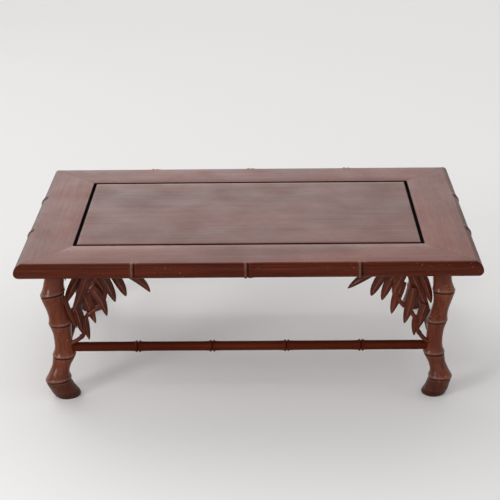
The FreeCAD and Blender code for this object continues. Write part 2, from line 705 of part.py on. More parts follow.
faults = []
for item in doc.Objects:
    if "Invalid" in item.State or "Error" in item.State:
        faults.append("%s: %s" % (item.Label, item.State))
for name, item in nodes.items():
    item.Label = name
    shape = item.Shape
    if shape.isNull() or not shape.isValid() or not shape.Solids:
        faults.append("%s has no valid solid" % name)
if faults:
    raise RuntimeError("; ".join(faults))

os.makedirs("parts", exist_ok=True)
for name, item in sorted(nodes.items()):
    item.Shape.exportStep("parts/%s.step" % name)
    bounds = item.Shape.BoundBox
    print("%-24s %d solid(s)  volume %9.0f  x %.1f..%.1f  y %.1f..%.1f  z %.1f..%.1f" % (
        name, len(item.Shape.Solids), item.Shape.Volume, bounds.XMin, bounds.XMax,
        bounds.YMin, bounds.YMax, bounds.ZMin, bounds.ZMax))
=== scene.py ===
"""Looks of the bamboo-carved kang table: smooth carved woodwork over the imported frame."""

import math

import bmesh
import bpy
from mathutils import Matrix, Vector


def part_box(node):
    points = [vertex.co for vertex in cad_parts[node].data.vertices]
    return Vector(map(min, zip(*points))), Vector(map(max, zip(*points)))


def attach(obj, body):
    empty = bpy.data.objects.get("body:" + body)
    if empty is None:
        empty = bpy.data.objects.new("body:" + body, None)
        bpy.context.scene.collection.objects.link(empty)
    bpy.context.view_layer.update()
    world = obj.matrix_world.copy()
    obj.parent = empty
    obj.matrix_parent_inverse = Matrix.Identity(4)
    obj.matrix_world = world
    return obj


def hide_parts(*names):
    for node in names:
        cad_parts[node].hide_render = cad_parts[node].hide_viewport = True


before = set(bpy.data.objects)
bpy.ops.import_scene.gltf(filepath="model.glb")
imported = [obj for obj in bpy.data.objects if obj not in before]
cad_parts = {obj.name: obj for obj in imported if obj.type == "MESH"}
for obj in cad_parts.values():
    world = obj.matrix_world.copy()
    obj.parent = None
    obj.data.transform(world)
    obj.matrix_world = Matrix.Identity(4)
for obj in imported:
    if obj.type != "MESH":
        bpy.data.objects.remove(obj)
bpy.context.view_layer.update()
MM = 0.001

# Main sizes, read from the frame
RAIL_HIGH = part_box("front_rail")[1]
PANEL_LOW, PANEL_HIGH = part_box("panel")
STRETCHER_LOW, STRETCHER_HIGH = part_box("back_stretcher")
HALF_LENGTH = RAIL_HIGH.x
HALF_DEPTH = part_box("left_rail")[1].y
TOP = PANEL_HIGH.z
INNER_Y = -RAIL_HIGH.y
RAIL_WIDTH = HALF_DEPTH - INNER_Y
INNER_X = HALF_LENGTH - RAIL_WIDTH
RAIL_THICKNESS = 28 * MM
UNDERSIDE = TOP - RAIL_THICKNESS
EDGE_RADIUS = RAIL_THICKNESS / 2
LEG_INSET = 62 * MM
LEG_X = HALF_LENGTH - LEG_INSET
LEG_Y = HALF_DEPTH - LEG_INSET
STRETCHER_Z = (STRETCHER_LOW.z + STRETCHER_HIGH.z) / 2
STRETCHER_Y = (STRETCHER_LOW.y + STRETCHER_HIGH.y) / 2


def between(low, high, value):
    """0 below low, 1 above high, smooth in between."""
    share = min(max((value - low) / (high - low), 0.0), 1.0)
    return share * share * (3 - 2 * share)


def bell(value, centre, width):
    """1 at the centre, falling off smoothly on both sides."""
    return math.exp(-((value - centre) / width) ** 2)


def smooth_keys(keys, at):
    """Smooth curve through (place, value...) keys with rising places, read at one place."""
    if at <= keys[0][0]:
        return keys[0][1:]
    if at >= keys[-1][0]:
        return keys[-1][1:]
    i = 1
    while keys[i][0] < at:
        i += 1
    a, b = keys[i - 1], keys[i]
    before, after = keys[max(i - 2, 0)], keys[min(i + 1, len(keys) - 1)]
    span = b[0] - a[0]
    t = (at - a[0]) / span
    values = []
    for j in range(1, len(a)):
        slope_a = (b[j] - before[j]) / (b[0] - before[0]) * span
        slope_b = (after[j] - a[j]) / (after[0] - a[0]) * span
        values.append((2 * t ** 3 - 3 * t ** 2 + 1) * a[j] + (t ** 3 - 2 * t ** 2 + t) * slope_a
                      + (3 * t ** 2 - 2 * t ** 3) * b[j] + (t ** 3 - t ** 2) * slope_b)
    return values


def places(start, end, step, fine_spots, fine_reach, fine_step):
    """Even places from start to end, closer together near the fine spots."""
    found = set()
    count = max(int(round((end - start) / step)), 1)
    for i in range(count + 1):
        found.add(round(start + (end - start) * i / count, 7))
    for spot in fine_spots:
        steps = int(round(2 * fine_reach / fine_step))
        for i in range(steps + 1):
            place = spot - fine_reach + i * fine_step
            if start < place < end:
                found.add(round(place, 7))
    ordered = sorted(found)
    kept = [ordered[0]]
    for place in ordered[1:]:
        if place - kept[-1] > fine_step * 0.4:
            kept.append(place)
    return kept


def ring_edges(ring):
    """Pairs of neighbours all round a ring."""
    return list(zip(ring, ring[1:] + ring[:1]))


class Mesh:
    """Gathers points with shade and with wear and painted highlight, faces and sharp edges, and makes
    objects of them.
    """

    def __init__(self, name):
        self.name = name
        self.verts = []
        self.shade = []
        self.wear_and_highlight = []
        self.faces = []
        self.second = set()
        self.sharp = []

    def add(self, point, shade, wear_and_highlight=0.0):
        self.verts.append(tuple(point))
        self.shade.append(shade)
        self.wear_and_highlight.append(wear_and_highlight)
        return len(self.verts) - 1

    def loft(self, rings, shades=None, wears_and_highlights=None, sharp_columns=(), second_columns=(), tip=None):
        """Closed skin through rings of points. The second columns take the second material."""
        rows = []
        for i, ring in enumerate(rings):
            rows.append([self.add(point, shades[i][j] if shades else 0.0, wears_and_highlights[i][j] if wears_and_highlights else 0.0)
                         for j, point in enumerate(ring)])
        count = len(rows[0])
        for low, high in zip(rows, rows[1:]):
            for i in range(count):
                k = (i + 1) % count
                if i in second_columns:
                    self.second.add(len(self.faces))
                self.faces.append((low[i], low[k], high[k], high[i]))
            for i in sharp_columns:
                self.sharp.append((low[i], high[i]))
        self.faces.append(tuple(reversed(rows[0])))
        self.sharp += ring_edges(rows[0])
        if tip is None:
            self.faces.append(tuple(rows[-1]))
            self.sharp += ring_edges(rows[-1])
        else:
            end = self.add(tip, shades[-1][0])
            self.faces += [(first, second, end) for first, second in ring_edges(rows[-1])]

    def make(self, materials, node, slot, mirror=(1, 1, 1)):
        """Object in place of a CAD node, mirrored where the mirror has a -1."""
        verts = [(x * mirror[0], y * mirror[1], z * mirror[2]) for x, y, z in self.verts]
        faces = self.faces
        if mirror[0] * mirror[1] * mirror[2] < 0:
            faces = [tuple(reversed(face)) for face in faces]
        data = bpy.data.meshes.new(self.name)
        data.from_pydata(verts, [], faces)
        data.validate()
        for label, values in (("shade", self.shade), ("wear_and_highlight", self.wear_and_highlight)):
            attribute = data.attributes.new(label, "FLOAT", "POINT")
            attribute.data.foreach_set("value", values)
        for polygon in data.polygons:
            polygon.use_smooth = True
            polygon.material_index = 1 if polygon.index in self.second else 0
        marked = set(tuple(sorted(pair)) for pair in self.sharp)
        for edge in data.edges:
            if tuple(sorted(edge.vertices)) in marked:
                edge.use_edge_sharp = True
        piece = bpy.data.objects.new(self.name, data)
        bpy.context.scene.collection.objects.link(piece)
        for material in materials:
            data.materials.append(material)
        fix_normals(piece)
        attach(piece, "root")
        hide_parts(node)


def fix_normals(piece):
    shape = bmesh.new()
    shape.from_mesh(piece.data)
    bmesh.ops.recalc_face_normals(shape, faces=shape.faces)
    shape.to_mesh(piece.data)
    shape.free()


# Materials

# Noises of the wood, as features per metre along the grain and across it
BROAD_GRAIN = (2.5, 22.0)
STRIPE_GRAIN = (5.0, 240.0)
PORE_GRAIN = (45.0, 1400.0)
# Noises of the finish, as features per metre along X, Y and Z
CLOUDS = (9.0, 9.0, 9.0)
SPECKS = (330.0, 330.0, 260.0)
SPECK_PATCHES = (22.0, 22.0, 22.0)
RUBS = (150.0, 150.0, 150.0)
SMUDGES = (14.0, 14.0, 14.0)
PORE_STRENGTH = 0.5
CLOUD_STRENGTH = 0.30
STRIPE_HEIGHT = 1.6
BUMP_STRENGTH = 0.10
BUMP_DISTANCE = 0.6 * MM
# Roughness in pores, and where the points' shade darkens the wood with dirt and painted shade
PORE_ROUGHNESS = (0.55, 0.55, 0.55)
DIRT_AND_SHADE_ROUGHNESS = (0.6, 0.6, 0.6)
# Colours of worn ridges, which also stand for painted highlights, of chipped flecks, and of dirt and
# painted shade
WORN_AND_HIGHLIGHT = (0.74, 0.50, 0.38)
FLECK = (0.60, 0.42, 0.30)
DIRT_AND_SHADE = (0.006, 0.002, 0.0015)
# Darkest streaks, then the light and the deep colour of each wood
DARK_RED = (0.030, 0.005, 0.002)
FRAME_REDS = ((0.190, 0.033, 0.011), (0.106, 0.0150, 0.0043))
EDGE_REDS = ((0.180, 0.030, 0.010), (0.100, 0.014, 0.0040))
PANEL_REDS = ((0.160, 0.033, 0.0145), (0.098, 0.018, 0.0072))
LEG_REDS = ((0.205, 0.050, 0.021), (0.090, 0.017, 0.0065))
LEAF_REDS = ((0.150, 0.028, 0.010), (0.050, 0.008, 0.0032))
BATTEN_BROWNS = ((0.100, 0.040, 0.022), (0.060, 0.022, 0.012))


def link(tree, source, target):
    tree.links.new(source, target)


def new_node(tree, kind, **settings):
    node = tree.nodes.new(kind)
    for name, value in settings.items():
        setattr(node, name, value)
    return node


def noise(tree, coordinates, scale, detail=3.0, roughness=0.55, distortion=0.0):
    """Noise with its own scale along X, Y and Z, in features per metre."""
    mapping = new_node(tree, "ShaderNodeMapping")
    mapping.inputs["Scale"].default_value = scale
    link(tree, coordinates, mapping.inputs["Vector"])
    texture = new_node(tree, "ShaderNodeTexNoise")
    texture.inputs["Scale"].default_value = 1.0
    texture.inputs["Detail"].default_value = detail
    texture.inputs["Roughness"].default_value = roughness
    texture.inputs["Distortion"].default_value = distortion
    link(tree, mapping.outputs["Vector"], texture.inputs["Vector"])
    return texture.outputs["Fac"]


def ramp(tree, value, stops):
    """Colour ramp from (position, grey or colour) stops."""
    node = new_node(tree, "ShaderNodeValToRGB")
    elements = node.color_ramp.elements
    while len(elements) < len(stops):
        elements.new(0.5)
    for element, (position, colour) in zip(elements, stops):
        if not isinstance(colour, tuple):
            colour = (colour, colour, colour)
        element.position = position
        element.color = (*colour, 1.0)
    link(tree, value, node.inputs["Fac"])
    return node.outputs["Color"]


def mix(tree, factor, first, second):
    """Mixed colour. First and second are sockets or colours, and so is the factor or a number."""
    node = new_node(tree, "ShaderNodeMix", data_type="RGBA")
    for socket, value in ((node.inputs[0], factor), (node.inputs[6], first), (node.inputs[7], second)):
        if isinstance(value, tuple):
            socket.default_value = (*value, 1.0)
        elif isinstance(value, (int, float)):
            socket.default_value = value
        else:
            link(tree, value, socket)
    return node.outputs[2]


def math_node(tree, operation, first, second):
    """One operation on two sockets or numbers."""
    node = new_node(tree, "ShaderNodeMath", operation=operation)
    for socket, value in zip(node.inputs, (first, second)):
        if isinstance(value, (int, float)):
            socket.default_value = value
        else:
            link(tree, value, socket)
    return node.outputs[0]


def along_grain(axis, along, across):
    """Scale of a noise that is drawn out along one axis."""
    scale = [across, across, across]
    scale[axis] = along
    return tuple(scale)


def point_value(tree, name):
    """Value that the mesh's points carry."""
    return new_node(tree, "ShaderNodeAttribute", attribute_name=name).outputs["Fac"]


def chipped_flecks(tree, place, strength):
    """Small specks that come in patches."""
    specks = noise(tree, place, SPECKS, detail=2.0, roughness=0.7)
    patches = noise(tree, place, SPECK_PATCHES, detail=1.0)
    return math_node(tree, "MULTIPLY", ramp(tree, specks, ((0.66, 0.0), (0.71, 1.0))),
                     ramp(tree, patches, ((0.46, 0.0), (0.58, strength))))


def wear_and_highlight_places(tree, place):
    """Wear and painted highlight that the points carry, broken up by small rubs."""
    rubs = noise(tree, place, RUBS, detail=3.0, roughness=0.6)
    return math_node(tree, "MULTIPLY", point_value(tree, "wear_and_highlight"),
                     ramp(tree, rubs, ((0.32, 0.35), (0.60, 1.0))))


def wood(name, axis, reds, gloss=0.32, flecks=0.0, sheen=0.17, streaks=0.55):
    """Polished hardwood with its grain along one axis of the frame, dark where shade is 1, which holds dirt
    and painted shade.
    """
    light, deep = reds
    material = bpy.data.materials.new(name)
    material.use_nodes = True
    tree = material.node_tree
    shader = tree.nodes["Principled BSDF"]
    place = new_node(tree, "ShaderNodeTexCoord").outputs["Object"]
    broad = noise(tree, place, along_grain(axis, *BROAD_GRAIN), detail=4.0, distortion=0.6)
    stripes = noise(tree, place, along_grain(axis, *STRIPE_GRAIN), detail=4.0, roughness=0.65)
    fine = noise(tree, place, along_grain(axis, *PORE_GRAIN), detail=2.0, roughness=0.6)
    clouds = noise(tree, place, CLOUDS, detail=2.0)
    pores = ramp(tree, fine, ((0.56, 0.0), (0.72, PORE_STRENGTH)))
    shade = point_value(tree, "shade")

    colour = ramp(tree, broad, ((0.30, deep), (0.62, light)))
    colour = mix(tree, ramp(tree, stripes, ((0.38, 0.0), (0.66, streaks))), colour, DARK_RED)
    colour = mix(tree, pores, colour, DARK_RED)
    colour = mix(tree, ramp(tree, clouds, ((0.35, 0.0), (0.75, CLOUD_STRENGTH))), colour, deep)
    if flecks:
        colour = mix(tree, chipped_flecks(tree, place, flecks), colour, FLECK)
    # The points' shade darkens the wood: dark joints, stains and dirt, and painted shade in gaps, hollows
    # and on shaded sides
    colour = mix(tree, shade, colour, DIRT_AND_SHADE)
    # The points' wear lightens it: worn ridges, lips and midribs, which also stand for painted highlights
    colour = mix(tree, wear_and_highlight_places(tree, place), colour, WORN_AND_HIGHLIGHT)
    link(tree, colour, shader.inputs["Base Color"])

    smudges = noise(tree, place, SMUDGES, detail=3.0)
    rough = ramp(tree, smudges, ((0.30, gloss - 0.05), (0.75, gloss + 0.09)))
    rough = mix(tree, pores, rough, PORE_ROUGHNESS)
    rough = mix(tree, shade, rough, DIRT_AND_SHADE_ROUGHNESS)
    link(tree, rough, shader.inputs["Roughness"])
    shader.inputs["Specular IOR Level"].default_value = sheen

    bump = new_node(tree, "ShaderNodeBump")
    bump.inputs["Strength"].default_value = BUMP_STRENGTH
    bump.inputs["Distance"].default_value = BUMP_DISTANCE
    height = math_node(tree, "ADD", fine, math_node(tree, "MULTIPLY", stripes, STRIPE_HEIGHT))
    link(tree, height, bump.inputs["Height"])
    link(tree, bump.outputs["Normal"], shader.inputs["Normal"])
    return material


EDGE_FINISH = {"gloss": 0.17, "flecks": 0.45, "sheen": 0.08, "streaks": 0.75}
STRETCHER_FINISH = {"gloss": 0.17, "sheen": 0.025}
frame_x = wood("frame_wood_long", 0, FRAME_REDS, sheen=0.145)
frame_y = wood("frame_wood_short", 1, FRAME_REDS, sheen=0.145)
edge_x = wood("edge_wood_long", 0, EDGE_REDS, **EDGE_FINISH)
edge_y = wood("edge_wood_short", 1, EDGE_REDS, **EDGE_FINISH)
panel_wood = wood("panel_wood", 0, PANEL_REDS, gloss=0.36, sheen=0.18)
leg_wood = wood("leg_wood", 2, LEG_REDS, gloss=0.18, flecks=0.7, sheen=0.17)
stretcher_x = wood("stretcher_wood_long", 0, EDGE_REDS, **STRETCHER_FINISH)
stretcher_y = wood("stretcher_wood_short", 1, EDGE_REDS, **STRETCHER_FINISH)
leaf_wood = wood("leaf_wood", 2, LEAF_REDS, gloss=0.15, sheen=0.15)
batten_wood = wood("batten_wood", 1, BATTEN_BROWNS, gloss=0.5)


# Rails

EDGE_JOINT_X = (-194 * MM, 0.0, 194 * MM)
EDGE_JOINT_Y = (-85 * MM, 85 * MM)
MITRE_START = 20 * MM
SEAM = 0.06 * MM
CORNER_ROUNDING = 0.7 * MM
ROUNDING_STEPS = 4
ARC_STEPS = 28
# Steps into a mitre, as shares of the way to its end
MITRE_STEPS = (0.1, 0.2, 0.3, 0.4, 0.5, 0.6, 0.7, 0.8, 0.9, 0.98, 1.0)
# An edge joint's ridge: its place before the groove, then rises and depth in mm
RIDGE_PLACE = -4.0 * MM
RIDGE_RISE = 2.0
RAMP_RISE = 1.3
GROOVE_DEPTH = 0.8
# Turns round the half-round edge, from 90 degrees at the top to 270 at the underside: where its
# own wood begins, where its stain and painted shade set in, and where the carving fades in and out
EDGE_WOOD_TURN = math.radians(98)
STAIN_AND_SHADE_TURNS = (math.radians(94), math.radians(112))
CARVING_IN_TURNS = (math.radians(92), math.radians(122))
CARVING_OUT_TURNS = (math.radians(235), math.radians(268))
# Shades of the edge (stain and painted shade), the channel's wall (painted shade), the joints' grooves and
# the mitres' seams
EDGE_STAIN_AND_SHADE = 0.38
CHANNEL_PAINTED_SHADE = 0.96
GROOVE_SHADE = 0.95
SEAM_SHADE = 0.6
# Pale wear on each edge joint's ridge, which also stands for a painted highlight
RIDGE_WEAR_AND_HIGHLIGHT = 0.12


def edge_joint_rise(offset):
    """Rise of the half-round edge at a bamboo joint: a ridge, a thin groove and a long ramp."""
    ridge = RIDGE_RISE * bell(offset, RIDGE_PLACE, 2.6 * MM)
    slope = 0.0
    if offset > 0:
        slope = RAMP_RISE * between(0.2 * MM, 1.4 * MM, offset) * (1 - between(2 * MM, 13 * MM, offset))
    return (ridge + slope - GROOVE_DEPTH * bell(offset, 0, 0.8 * MM)) * MM


def edge_carving(place, turn, joints):
    """Rise, groove, and wear with painted highlight of the edge at a place along it and a turn round it."""
    fade = between(*CARVING_IN_TURNS, turn) * (1 - 0.6 * between(*CARVING_OUT_TURNS, turn))
    rise, groove, wear_and_highlight = 0.0, 0.0, 0.0
    for joint in joints:
        rise += edge_joint_rise(place - joint) * fade
        groove = max(groove, bell(place - joint, 0.3 * MM, 1.7 * MM) * min(fade * 1.3, 1))
        wear_and_highlight = max(wear_and_highlight, RIDGE_WEAR_AND_HIGHLIGHT * bell(place - joint, RIDGE_PLACE, 1.8 * MM) * fade)
    return rise, groove, wear_and_highlight


def rail_section():
    """Outline of a rail: distance from its outer side, height, and the turn on the half-round."""
    section = []
    for step in range(ROUNDING_STEPS + 1):
        turn = math.radians(90 * step / ROUNDING_STEPS)
        section.append((RAIL_WIDTH - CORNER_ROUNDING + CORNER_ROUNDING * math.cos(turn),
                        TOP - CORNER_ROUNDING + CORNER_ROUNDING * math.sin(turn), None))
    section.append((RAIL_WIDTH * 0.7, TOP, None))
    section.append((RAIL_WIDTH * 0.4, TOP, None))
    for step in range(ARC_STEPS + 1):
        section.append((0, 0, math.radians(90 + 180 * step / ARC_STEPS)))
    section.append((RAIL_WIDTH * 0.5, UNDERSIDE, None))
    section.append((RAIL_WIDTH - CORNER_ROUNDING, UNDERSIDE, None))
    section.append((RAIL_WIDTH, UNDERSIDE + CORNER_ROUNDING, None))
    return section


def rail_stations(start, joints):
    """Stations along a rail: zone 0 with a place, or zone -1 or 1 with a share of the mitre."""
    spots = places(-start, start, 6 * MM, joints, 12 * MM, 0.4 * MM)
    stations = [(-1, share) for share in reversed(MITRE_STEPS)]
    stations += [(0, spot) for spot in spots]
    return stations + [(1, share) for share in MITRE_STEPS]


def make_rail(name, axis, joints):
    """Rail on the negative side along X (axis 0) or Y (axis 1)."""
    half, outer, straight = HALF_LENGTH, HALF_DEPTH, INNER_X
    if axis == 1:
        half, outer, straight = HALF_DEPTH, HALF_LENGTH, INNER_Y
    start = straight - MITRE_START
    section = rail_section()
    rings, shades, wears_and_highlights = [], [], []
    for zone, value in rail_stations(start, joints):
        ring, shade_row, wear_and_highlight_row = [], [], []
        seam = SEAM_SHADE if zone != 0 and value == 1.0 else 0.0
        for inward, z, turn in section:
            rise, groove, wear_and_highlight = 0.0, 0.0, 0.0
            # The channel's wall is darkened with painted shade
            stain_and_shade = CHANNEL_PAINTED_SHADE if inward > RAIL_WIDTH - 0.5 * MM else 0.0
            if turn is not None:
                if zone == 0:
                    rise, groove, wear_and_highlight = edge_carving(value, turn, joints)
                radius = EDGE_RADIUS + rise
                inward = EDGE_RADIUS + radius * math.cos(turn)
                z = min(TOP - EDGE_RADIUS + radius * math.sin(turn), TOP)
                # Round the half-round edge, stain and painted shade darken it
                stain_and_shade = EDGE_STAIN_AND_SHADE * between(*STAIN_AND_SHADE_TURNS, turn)
            along = value
            if zone != 0:
                end = half - inward - SEAM
                along = zone * (start + value * (end - start))
            across = inward - outer
            ring.append((along, across, z) if axis == 0 else (across, along, z))
            shade_row.append(max(groove * GROOVE_SHADE, seam, stain_and_shade))
            wear_and_highlight_row.append(wear_and_highlight)
        rings.append(ring)
        shades.append(shade_row)
        wears_and_highlights.append(wear_and_highlight_row)
    edge_columns = [i for i, (inward, z, turn) in enumerate(section)
                    if turn is not None and turn > EDGE_WOOD_TURN]
    mesh = Mesh(name)
    mesh.loft(rings, shades, wears_and_highlights, second_columns=edge_columns)
    return mesh


# Legs

# Height on the stem's centre line, its reach along X from the middle and its radius, in mm
STEM_KEYS = (
    (0, 331.3), (6, 333.4), (14, 336.6), (24, 339.8), (33, 342.3), (40, 343.0), (46, 342.4),
    (54, 340.3), (62, 337.4), (70, 334.6), (78, 332.0), (84, 331.2), (95, 331.1), (112, 331.5),
    (128, 332.5), (144, 334.3), (158, 336.3), (172, 339.0), (187, 341.6), (200, 342.8),
    (207, 342.8), (216, 341.4), (226, 339.8), (240, 338.5), (253, 338.0),
)
RADIUS_KEYS = (
    (0, 21.6), (2, 22.6), (6, 23.1), (10, 22.9), (14.4, 22.5), (19, 21.8), (24, 21.4), (29, 21.3),
    (33.5, 21.0), (38.5, 22.2), (41, 21.7), (44, 20.2), (49, 18.0), (54, 16.8), (60, 16.2),
    (66, 16.4), (72, 17.9), (77.5, 19.0), (82.3, 20.1), (84.5, 19.5), (89, 17.4), (95, 15.9),
    (103, 15.3), (112, 15.3), (120, 15.5), (128, 16.1), (136, 17.3), (141.5, 18.2), (146.3, 19.4),
    (148.5, 18.8), (153, 17.4), (158, 16.5), (165, 15.7), (172, 15.5), (181, 16.0), (190, 17.2),
    (198, 18.8), (202.5, 19.7), (207.3, 20.9), (209.5, 20.3), (214, 18.9), (220, 17.7), (226, 17.2),
    (235, 17.0), (245, 17.0), (253, 17.3),
)
# Height of each joint's groove, its depth and its half width in mm
LEG_JOINTS = ((204.9, 1.9, 1.1), (144.0, 1.7, 1.0), (80.0, 1.8, 1.0), (36.2, 1.9, 1.2), (13.5, 0.7, 0.8))
# How the rings tilt along X and Y, as slopes, at each height in mm
LEFT_TILT_KEYS = ((0, 0.0, 0.0), (14, -0.04, 0.04), (36, -0.10, 0.09), (58, -0.03, 0.03), (80, 0.0, 0.0),
                  (112, 0.0, 0.0), (144, -0.04, 0.0), (175, -0.12, 0.04), (205, -0.19, 0.09),
                  (230, -0.08, 0.04), (253, 0.0, 0.0))
RIGHT_TILT_KEYS = ((0, 0.0, 0.0), (14, 0.0, 0.04), (36, 0.0, 0.09), (58, 0.0, 0.03), (80, 0.0, 0.0),
                   (112, 0.01, 0.0), (144, 0.04, 0.0), (175, 0.02, 0.04), (205, 0.0, 0.09),
                   (230, 0.0, 0.04), (253, 0.0, 0.0))
AROUND = 64
# Spacing of the rings, the reach of the finer ones round a joint and their spacing, in mm
LEG_SPACING = (2.0, 4.0, 0.4)
# Heights in mm where the legs' own bend and thickness set in and end under the rails
BEND_IN = (3, 34)
BEND_OUT = (222, 250)
THICKNESS_OUT = (225, 250)
# How much squarer than round the stem is, and the heights in mm where that sets in and ends
SQUARER = 0.35
SQUARE_IN = (8, 40)
SQUARE_OUT = (235, 252)
# The legs get darker towards the foot in steps: shade, and the heights in mm where it starts and stops to
# fade
FOOT_SHADES = ((0.20, 7, 14), (0.36, 32, 38), (0.12, 50, 80))
LEG_GROOVE_SHADE = 0.92
# Only joints above this height in mm are worn, with painted highlight: wear, place from the groove and half
# width in mm
LOWEST_WORN_AND_HIGHLIGHTED_JOINT = 30
UPPER_LIP = (0.10, 4.2, 1.8)
LOWER_LIP = (0.03, -3.2, 1.2)


def carved_joints(height, radius):
    """Radius of the stem with its joints cut in, how dark the grooves are and how worn the lips, with
    painted highlight.
    """
    groove, wear_and_highlight = 0.0, 0.0
    for spot, depth, width in LEG_JOINTS:
        radius -= depth * bell(height, spot, width)
        groove = max(groove, bell(height, spot, 1.7 * width) * min(depth / 1.7, 1.0))
        if spot > LOWEST_WORN_AND_HIGHLIGHTED_JOINT:
            for strength, offset, reach in (UPPER_LIP, LOWER_LIP):
                wear_and_highlight = max(wear_and_highlight, strength * bell(height, spot + offset, reach))
    return radius, groove, wear_and_highlight


def make_leg(thickness, bend, tilt_keys):
    """Back right leg: rings along the bent stem, a little squarish, with carved joints."""
    spacing, fine_reach, fine_spacing = LEG_SPACING
    grooves = [joint[0] for joint in LEG_JOINTS]
    heights = places(0.0, UNDERSIDE / MM, spacing, grooves, fine_reach, fine_spacing)
    rings, shades, wears_and_highlights = [], [], []
    for height in heights:
        reach = smooth_keys(STEM_KEYS, height)[0]
        reach += bend * between(*BEND_IN, height) * (1 - between(*BEND_OUT, height))
        radius, groove, wear_and_highlight = carved_joints(height, smooth_keys(RADIUS_KEYS, height)[0])
        radius *= 1 + (thickness - 1) * (1 - 0.6 * between(*THICKNESS_OUT, height))
        tilt_x, tilt_y = smooth_keys(tilt_keys, height)
        power = 2.0 + SQUARER * between(*SQUARE_IN, height) * (1 - between(*SQUARE_OUT, height))
        foot = sum(shade * (1 - between(low, high, height)) for shade, low, high in FOOT_SHADES)
        ring = []
        for i in range(AROUND):
            turn = 2 * math.pi * i / AROUND
            spread = abs(math.cos(turn)) ** power + abs(math.sin(turn)) ** power
            reach_out = radius / spread ** (1 / power)
            x = reach_out * math.cos(turn)
            y = reach_out * math.sin(turn)
            z = max(height + tilt_x * x + tilt_y * y, 0.0)
            ring.append(((reach + x) * MM, (reach - (LEG_X - LEG_Y) / MM + y) * MM, z * MM))
        rings.append(ring)
        shades.append([max(groove * LEG_GROOVE_SHADE, foot)] * AROUND)
        wears_and_highlights.append([wear_and_highlight] * AROUND)
    mesh = Mesh("leg")
    mesh.loft(rings, shades, wears_and_highlights)
    return mesh


# Stretchers

STRETCHER_RADIUS = 8.5 * MM
STRETCHER_SIDES = 32
# The stretchers are darkened all over with painted shade from the top above them
STRETCHER_PAINTED_SHADE = 0.48
STRETCHER_GROOVE_SHADE = 0.85
LIP_PLACE = 2.9 * MM
LIP_WIDTH = 1.7 * MM
# Rise of the lips and of the swelling round a joint, and depth of its groove, in mm
LIP_RISE = 1.9
SWELLING_RISE = 0.5
STRETCHER_GROOVE_DEPTH = 1.2


def stretcher_rise(offset):
    """Rise of a stretcher at a bamboo joint: two thin lips with a groove between them."""
    rise = LIP_RISE * bell(offset, -LIP_PLACE, LIP_WIDTH) + LIP_RISE * bell(offset, LIP_PLACE, LIP_WIDTH)
    swelling = SWELLING_RISE * bell(offset, 0, 11 * MM)
    return (rise + swelling - STRETCHER_GROOVE_DEPTH * bell(offset, 0, 0.9 * MM)) * MM


def make_stretcher(name, axis, joints, end, across):
    """Round bar along X (axis 0) or Y (axis 1), from -end to end."""
    rings, shades = [], []
    for spot in places(-end, end, 6 * MM, joints, 8 * MM, 0.45 * MM):
        rise, groove = 0.0, 0.0
        for joint in joints:
            rise += stretcher_rise(spot - joint)
            groove = max(groove, bell(spot - joint, 0, 1.0 * MM))
        ring = []
        for i in range(STRETCHER_SIDES):
            turn = 2 * math.pi * i / STRETCHER_SIDES
            side = across + (STRETCHER_RADIUS + rise) * math.cos(turn)
            z = STRETCHER_Z + (STRETCHER_RADIUS + rise) * math.sin(turn)
            ring.append((spot, side, z) if axis == 0 else (side, spot, z))
        rings.append(ring)
        shades.append([max(groove * STRETCHER_GROOVE_SHADE, STRETCHER_PAINTED_SHADE)] * STRETCHER_SIDES)
    mesh = Mesh(name)
    mesh.loft(rings, shades)
    return mesh


# Leaf spandrels

# Leaves: base, middle and tip as shares of the reach and of the drop, then the width's share and
# how far the leaf stands proud, as a share of the relief
LEFT_LEAVES = (
    ((0.70, 0.03), (0.90, 0.15), (1.03, 0.31), 1.00, 0.0),
    ((0.60, 0.03), (0.70, 0.22), (0.76, 0.37), 1.00, 1.0),
    ((0.48, 0.03), (0.58, 0.25), (0.64, 0.43), 1.04, -0.6),
    ((0.38, 0.03), (0.48, 0.22), (0.54, 0.37), 1.04, 0.6),
    ((0.38, 0.25), (0.48, 0.40), (0.54, 0.61), 1.05, -1.0),
    ((0.29, 0.33), (0.34, 0.50), (0.41, 0.72), 1.04, 1.0),
    ((0.37, 0.03), (0.27, 0.32), (0.16, 0.57), 0.99, -1.0),
    ((0.30, 0.03), (0.17, 0.27), (0.08, 0.46), 1.00, 0.6),
    ((0.19, 0.51), (0.23, 0.67), (0.26, 0.85), 1.20, 0.4),
    ((0.30, 0.64), (0.31, 0.79), (0.33, 0.92), 0.66, -0.6),
    ((0.07, 0.37), (0.11, 0.56), (0.20, 0.77), 0.80, -0.4),
)
RIGHT_LEAVES = (
    ((0.66, 0.03), (0.86, 0.15), (1.03, 0.28), 0.92, 0.0),
    ((0.60, 0.03), (0.71, 0.23), (0.77, 0.37), 1.00, 1.0),
    ((0.49, 0.03), (0.59, 0.26), (0.65, 0.44), 1.04, -0.6),
    ((0.40, 0.03), (0.48, 0.22), (0.53, 0.36), 1.04, 0.6),
    ((0.42, 0.22), (0.49, 0.42), (0.54, 0.62), 1.04, -1.0),
    ((0.31, 0.28), (0.35, 0.52), (0.40, 0.73), 1.04, 1.0),
    ((0.36, 0.03), (0.24, 0.34), (0.13, 0.58), 1.08, -1.0),
    ((0.26, 0.03), (0.16, 0.28), (0.11, 0.47), 0.88, 0.8),
    ((0.17, 0.50), (0.21, 0.65), (0.24, 0.80), 1.04, 0.4),
    ((0.27, 0.65), (0.28, 0.78), (0.28, 0.90), 0.66, -0.6),
)
